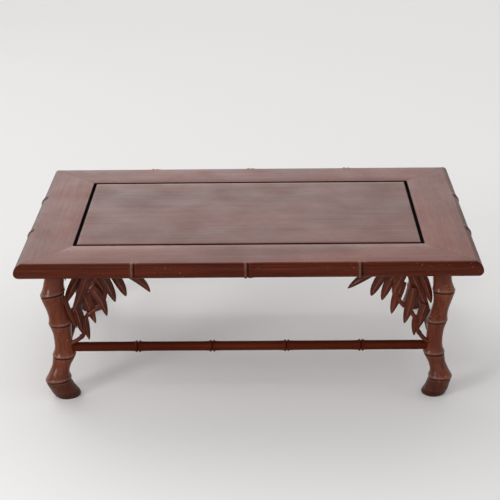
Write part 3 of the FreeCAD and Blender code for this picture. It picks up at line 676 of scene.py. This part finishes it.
SIDE_LEAVES = (
    ((0.72, 0.03), (0.90, 0.15), (1.03, 0.30), 0.95, 0.0),
    ((0.54, 0.03), (0.70, 0.24), (0.80, 0.42), 1.00, 1.0),
    ((0.38, 0.22), (0.55, 0.40), (0.64, 0.60), 1.04, -1.0),
    ((0.50, 0.03), (0.32, 0.34), (0.20, 0.60), 1.04, 0.8),
    ((0.34, 0.03), (0.24, 0.24), (0.17, 0.42), 0.88, -0.8),
    ((0.24, 0.48), (0.32, 0.68), (0.36, 0.84), 1.00, 0.6),
)
LEFT_TWIG = (
    (0.06, 1.00), (0.15, 0.97), (0.26, 0.88), (0.29, 0.76), (0.31, 0.64), (0.38, 0.57),
    (0.46, 0.50), (0.52, 0.39), (0.55, 0.24), (0.58, 0.02),
)
RIGHT_TWIG = (
    (0.05, 1.00), (0.15, 0.97), (0.24, 0.85), (0.26, 0.74), (0.30, 0.64), (0.36, 0.56),
    (0.44, 0.48), (0.48, 0.40), (0.51, 0.26), (0.54, 0.02),
)
SIDE_TWIG = (
    (0.08, 1.00), (0.20, 0.96), (0.32, 0.84), (0.37, 0.66), (0.50, 0.50), (0.58, 0.30),
    (0.64, 0.02),
)
DROP = 150 * MM
REACH = 160 * MM
SIDE_REACH = 110 * MM
LEAF_WIDTH = 17 * MM
LEAF_THICKNESS = 9 * MM
LEAF_RELIEF = 2.5 * MM
LEAF_STEPS = 18
# How much lower than its share a leaf's tip hangs, as a share of the drop
TIP_DROP = 0.02
# A leaf's upper face from side to side: place across, height, shade and wear. The shade is painted shade,
# dark towards the edges; the wear on the midrib also stands for a painted highlight
UPPER_FACE = (
    (-1.0, 0.20, 0.55, 0.0), (-0.84, 0.23, 0.42, 0.0), (-0.55, 0.40, 0.14, 0.0),
    (-0.09, 0.86, 0.08, 0.0), (0.0, 1.0, 0.0, 0.24), (0.09, 0.86, 0.08, 0.0),
    (0.55, 0.40, 0.14, 0.0), (0.84, 0.23, 0.42, 0.0), (1.0, 0.20, 0.55, 0.0),
)
LOWER_FACE = tuple((-side, -height, shade, wear_and_highlight) for side, height, shade, wear_and_highlight in UPPER_FACE)
# The rims between the faces are darkened with painted shade
RIM_PAINTED_SHADE = 0.9
LEAF_SECTION = (*UPPER_FACE, (1.0, 0.0, RIM_PAINTED_SHADE, 0.0), *LOWER_FACE, (-1.0, 0.0, RIM_PAINTED_SHADE, 0.0))
# Columns of that section that are sharp: the midribs and the borders of the rims
LEAF_SHARP_COLUMNS = (0, 4, 8, 10, 14, 18)
TWIG_SIDES = 12
# Steps between two points of a twig, and its joints for each of them
TWIG_STEPS = 14
TWIG_JOINTS = 0.8
# Radius of a twig, rise of its joints and depth of their grooves, in mm
TWIG_RADII = (3.9, 1.1, 1.2)
# Strip along the rail that the leaves grow from
STRIP_START = 14 * MM
STRIP_SHARE = 0.80
STRIP_HALF = 4.5 * MM
STRIP_HEIGHT = 6 * MM
STRIP_STEPS = 8


def leaf_spot(t, reach, base, middle, tip):
    """Point on a leaf's curved middle line, from its base at 0 to its tip at 1."""
    weights = ((1 - t) * (1 - 2 * t), 4 * t * (1 - t), t * (2 * t - 1))
    x = sum(w * p[0] for w, p in zip(weights, (base, middle, tip))) * reach
    z = -(sum(w * p[1] for w, p in zip(weights, (base, middle, tip))) + TIP_DROP * t * t) * DROP
    return Vector((x, z))


def add_leaf(mesh, place, reach, leaf):
    """Leaf with two hollow facets on each face that meet in a midrib."""
    *line, width, relief = leaf
    rings, shades, wears_and_highlights = [], [], []
    for step in range(LEAF_STEPS):
        t = step / LEAF_STEPS
        point = leaf_spot(t, reach, *line)
        ahead = (leaf_spot(t + 0.01, reach, *line) - leaf_spot(t - 0.01, reach, *line)).normalized()
        across = Vector((-ahead.y, ahead.x))
        # Full width is a third of the way along, and the leaf narrows to a fine tip
        fullness = (t + 0.14) ** 0.52 * (1 - t) ** 0.72 / 0.506
        half_width = LEAF_WIDTH * width / 2 * fullness
        half_thickness = LEAF_THICKNESS / 2 * (0.45 + 0.55 * fullness) * (1 - t ** 4)
        ring = []
        for side, height, shade, wear_and_highlight in LEAF_SECTION:
            flat = point + across * (side * half_width)
            ring.append(place(flat.x, height * half_thickness + relief * LEAF_RELIEF, flat.y))
        rings.append(ring)
        shades.append([shade for side, height, shade, wear_and_highlight in LEAF_SECTION])
        wears_and_highlights.append([wear_and_highlight for side, height, shade, wear_and_highlight in LEAF_SECTION])
    end = leaf_spot(1.0, reach, *line)
    mesh.loft(rings, shades, wears_and_highlights, sharp_columns=LEAF_SHARP_COLUMNS,
              tip=place(end.x, relief * LEAF_RELIEF, end.y))


def add_twig(mesh, place, reach, points):
    """Thin bamboo twig with small joints."""
    keys = [(float(i), p[0] * reach, -p[1] * DROP) for i, p in enumerate(points)]
    length = len(points) - 1
    steps = TWIG_STEPS * length
    base, rise, depth = TWIG_RADII
    rings, shades = [], []
    for step in range(steps + 1):
        at = length * step / steps
        x, z = smooth_keys(keys, at)
        ahead_x, ahead_z = smooth_keys(keys, min(at + 0.03, length))
        back_x, back_z = smooth_keys(keys, max(at - 0.03, 0.0))
        ahead = Vector((ahead_x - back_x, ahead_z - back_z)).normalized()
        across = Vector((-ahead.y, ahead.x))
        phase = (at * TWIG_JOINTS) % 1.0
        radius = (base + rise * bell(phase, 0.5, 0.09) - depth * bell(phase, 0.53, 0.03)) * MM
        ring = []
        for i in range(TWIG_SIDES):
            turn = 2 * math.pi * i / TWIG_SIDES
            flat = across * (radius * math.cos(turn))
            ring.append(place(x + flat.x, radius * math.sin(turn), z + flat.y))
        rings.append(ring)
        shades.append([0.8 * bell(phase, 0.53, 0.04)] * TWIG_SIDES)
    mesh.loft(rings, shades)


def make_spandrel(name, place, reach, leaves, twig):
    """Twig, leaves and the strip along the rail, in one mesh."""
    mesh = Mesh(name)
    add_twig(mesh, place, reach, twig)
    for leaf in leaves:
        add_leaf(mesh, place, reach, leaf)
    rings = []
    for step in range(STRIP_STEPS + 1):
        x = STRIP_START + (STRIP_SHARE * reach - STRIP_START) * step / STRIP_STEPS
        rings.append([
            place(x, -STRIP_HALF, 0), place(x, STRIP_HALF, 0), place(x, STRIP_HALF, -STRIP_HEIGHT * 0.7),
            place(x, STRIP_HALF * 0.5, -STRIP_HEIGHT), place(x, -STRIP_HALF * 0.5, -STRIP_HEIGHT),
            place(x, -STRIP_HALF, -STRIP_HEIGHT * 0.7)])
    mesh.loft(rings, sharp_columns=(0, 1, 2, 3, 4, 5))
    return mesh


def corner_place(corner, along, across):
    """Function from a spandrel's own frame to the table: along from the leg, across it and up."""
    def place(x, y, z):
        return (corner[0] + along[0] * x + across[0] * y, corner[1] + along[1] * x + across[1] * y,
                UNDERSIDE + z)
    return place


# Panel

CHANNEL = 6 * MM
TONGUE_SLACK = 0.2 * MM
TONGUE_THICKNESS = 6 * MM
PANEL_ROUNDING = 1.0 * MM
PANEL_BORDER = 8 * MM
# Painted shade at each point of the panel's side in the channel, from the tongue up to the flat field
PANEL_PAINTED_SHADES = (0.95, 0.95, 0.95, 0.95, 0.85, 0.4, 0.0, 0.0, 0.0)


def make_panel():
    """Raised field with rounded edges over its tongue."""
    field_x, field_y = INNER_X - CHANNEL, INNER_Y - CHANNEL
    tongue_top = PANEL_LOW.z + TONGUE_THICKNESS
    profile = [(CHANNEL - TONGUE_SLACK, PANEL_LOW.z), (CHANNEL - TONGUE_SLACK, tongue_top), (0, tongue_top),
               (0, TOP - PANEL_ROUNDING)]
    for step in range(1, ROUNDING_STEPS + 1):
        turn = math.radians(90 * step / ROUNDING_STEPS)
        profile.append((-PANEL_ROUNDING + PANEL_ROUNDING * math.cos(turn),
                        TOP - PANEL_ROUNDING + PANEL_ROUNDING * math.sin(turn)))
    profile.append((-PANEL_BORDER, TOP))
    rings = []
    for grow, z in profile:
        x, y = field_x + grow, field_y + grow
        rings.append([(-x, -y, z), (x, -y, z), (x, y, z), (-x, y, z)])
    mesh = Mesh("panel_board")
    mesh.loft(rings, [[shade] * 4 for shade in PANEL_PAINTED_SHADES], sharp_columns=(0, 1, 2, 3))
    return mesh


# Woodwork, in place of the CAD solids. One mesh serves both sides, mirrored.

front = make_rail("front_rail_carved", 0, EDGE_JOINT_X)
front.make((frame_x, edge_x), "front_rail", "frame_wood")
front.name = "back_rail_carved"
front.make((frame_x, edge_x), "back_rail", "frame_wood", mirror=(1, -1, 1))
left = make_rail("left_rail_carved", 1, EDGE_JOINT_Y)
left.make((frame_y, edge_y), "left_rail", "frame_wood")
left.name = "right_rail_carved"
left.make((frame_y, edge_y), "right_rail", "frame_wood", mirror=(-1, 1, 1))
make_panel().make((panel_wood,), "panel", "panel_wood")

# The right legs are a little thinner than the left ones and bend otherwise
right_leg = make_leg(0.955, -1.3, RIGHT_TILT_KEYS)
left_leg = make_leg(1.05, 1.6, LEFT_TILT_KEYS)
for leg, place_name, mirror in (
        (right_leg, "back_right", (1, 1, 1)), (right_leg, "front_right", (1, -1, 1)),
        (left_leg, "back_left", (-1, 1, 1)), (left_leg, "front_left", (-1, -1, 1))):
    leg.name = place_name + "_leg_carved"
    leg.make((leg_wood,), place_name + "_leg", "leg_wood", mirror=mirror)

LONG_JOINTS = [share * 133 * MM for share in (-1.5, -0.5, 0.5, 1.5)]
SHORT_JOINTS = [-65 * MM, 65 * MM]
# A stretcher's end lies inside the leg, this far before its axis
STRETCHER_STOP = 8 * MM
LEG_AXIS_X = STRETCHER_Y + (LEG_X - LEG_Y)
long_bar = make_stretcher("front_stretcher_carved", 0, LONG_JOINTS,
                          LEG_AXIS_X - STRETCHER_STOP, -STRETCHER_Y)
long_bar.make((stretcher_x,), "front_stretcher", "stretcher_wood")
long_bar.name = "back_stretcher_carved"
long_bar.make((stretcher_x,), "back_stretcher", "stretcher_wood", mirror=(1, -1, 1))
short_bar = make_stretcher("left_stretcher_carved", 1, SHORT_JOINTS,
                           STRETCHER_Y - STRETCHER_STOP, -LEG_AXIS_X)
short_bar.make((stretcher_y,), "left_stretcher", "stretcher_wood")
short_bar.name = "right_stretcher_carved"
short_bar.make((stretcher_y,), "right_stretcher", "stretcher_wood", mirror=(-1, 1, 1))

front_left = make_spandrel("front_left_leaves", corner_place((-LEG_X, -LEG_Y), (1, 0), (0, 1)),
                           REACH, LEFT_LEAVES, LEFT_TWIG)
front_left.make((leaf_wood,), "front_left_spandrel", "leaf_wood")
front_left.name = "back_left_leaves"
front_left.make((leaf_wood,), "back_left_spandrel", "leaf_wood", mirror=(1, -1, 1))
front_right = make_spandrel("front_right_leaves", corner_place((LEG_X, -LEG_Y), (-1, 0), (0, -1)),
                            REACH, RIGHT_LEAVES, RIGHT_TWIG)
front_right.make((leaf_wood,), "front_right_spandrel", "leaf_wood")
front_right.name = "back_right_leaves"
front_right.make((leaf_wood,), "back_right_spandrel", "leaf_wood", mirror=(1, -1, 1))
side = make_spandrel("right_front_leaves", corner_place((LEG_X, -LEG_Y), (0, 1), (-1, 0)),
                     SIDE_REACH, SIDE_LEAVES, SIDE_TWIG)
for place_name, mirror in (("right_front", (1, 1, 1)), ("right_back", (1, -1, 1)),
                           ("left_front", (-1, 1, 1)), ("left_back", (-1, -1, 1))):
    side.name = place_name + "_leaves"
    side.make((leaf_wood,), place_name + "_spandrel", "leaf_wood", mirror=mirror)

for name in ("left_batten", "middle_batten", "right_batten"):
    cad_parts[name].data.materials.clear()
    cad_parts[name].data.materials.append(batten_wood)


# Floor, light and camera

FLOOR_HALF = 9.0
FLOOR_COLOUR = (0.80, 0.79, 0.78, 1)


def make_floor():
    material = bpy.data.materials.new("studio_floor")
    material.use_nodes = True
    shader = material.node_tree.nodes["Principled BSDF"]
    shader.inputs["Base Color"].default_value = FLOOR_COLOUR
    shader.inputs["Roughness"].default_value = 0.9
    shader.inputs["Specular IOR Level"].default_value = 0.1
    data = bpy.data.meshes.new("floor")
    corners = [(x * FLOOR_HALF, y * FLOOR_HALF, 0) for x, y in ((-1, -1), (1, -1), (1, 1), (-1, 1))]
    data.from_pydata(corners, [], [(0, 1, 2, 3)])
    data.materials.append(material)
    floor = bpy.data.objects.new("floor", data)
    bpy.context.scene.collection.objects.link(floor)


def make_light(name, place, aim, size, power):
    """Square area lamp that shines from its place to its aim."""
    data = bpy.data.lights.new(name, "AREA")
    data.shape = "RECTANGLE"
    data.size, data.size_y = size
    data.energy = power
    lamp = bpy.data.objects.new(name, data)
    bpy.context.scene.collection.objects.link(lamp)
    lamp.location = place
    lamp.rotation_euler = (Vector(aim) - Vector(place)).to_track_quat("-Z", "Y").to_euler()


# Soft glows of the studio: direction, sharpness and strength
GLOWS = (
    ((-0.22, 1, 0.40), 3.5, 2.40),
    ((0, -1, 0.32), 4.0, 1.50),
    ((-0.7, -0.7, 0.40), 4.0, 0.35),
    ((-1, 0.4, 0.20), 4.0, 1.40),
    ((1, 0, 0.26), 4.0, 1.40),
)
# Lamps: name, place, aim, size in metres and power in watts
LAMPS = (
    ("front_left", (-2.1, -2.1, 1.32), (0, 0, 0.1), (0.80, 0.80), 28),
    ("back_left", (-1.705, 1.705, 1.074), (0, 0, 0.1), (1.4, 1.4), 2),
    ("overhead", (-0.3, -1.0, 2.9), (0, 0, 0.1), (1.1, 1.1), 6),
)


def make_world():
    """Pale studio, as a sum of wide glows."""
    world = bpy.data.worlds.new("studio")
    bpy.context.scene.world = world
    world.use_nodes = True
    tree = world.node_tree
    background = tree.nodes["Background"]
    place = new_node(tree, "ShaderNodeTexCoord").outputs["Generated"]
    total = 0.0
    for direction, sharpness, strength in GLOWS:
        dot = new_node(tree, "ShaderNodeVectorMath", operation="DOT_PRODUCT")
        link(tree, place, dot.inputs[0])
        dot.inputs[1].default_value = Vector(direction).normalized()
        glow = math_node(tree, "POWER", math_node(tree, "MAXIMUM", dot.outputs["Value"], 0.0), sharpness)
        total = math_node(tree, "ADD", total, math_node(tree, "MULTIPLY", glow, strength))
    link(tree, total, background.inputs["Color"])


# Camera of the photograph, from a fit to the edges of the top and the soles. The focal length is
# in pixels of a picture 500 wide.
CAMERA_PLACE = Vector((35.05, -2357.2, 1178.3)) * MM
CAMERA_TURNS = (-0.01474949, 0.39226892, -0.0129510)
FOCAL_PIXELS = 1350.6
PICTURE_WIDTH = 500
SENSOR_WIDTH = 36.0


def make_camera():
    yaw, pitch, roll = CAMERA_TURNS
    forward = Vector((math.cos(pitch) * math.sin(yaw), math.cos(pitch) * math.cos(yaw),
                      -math.sin(pitch)))
    level = Vector((math.cos(yaw), -math.sin(yaw), 0))
    upright = level.cross(forward)
    right = math.cos(roll) * level + math.sin(roll) * upright
    up = math.cos(roll) * upright - math.sin(roll) * level
    data = bpy.data.cameras.new("camera")
    data.sensor_width = SENSOR_WIDTH
    data.lens = FOCAL_PIXELS / PICTURE_WIDTH * SENSOR_WIDTH
    data.clip_end = 50.0
    camera = bpy.data.objects.new("camera", data)
    bpy.context.scene.collection.objects.link(camera)
    camera.matrix_world = Matrix((
        (right.x, up.x, -forward.x, CAMERA_PLACE.x),
        (right.y, up.y, -forward.y, CAMERA_PLACE.y),
        (right.z, up.z, -forward.z, CAMERA_PLACE.z),
        (0, 0, 0, 1)))
    bpy.context.scene.camera = camera
    bpy.context.scene.view_settings.view_transform = "Standard"


make_floor()
make_world()
for name, place, aim, size, power in LAMPS:
    make_light(name, place, aim, size, power)
make_camera()
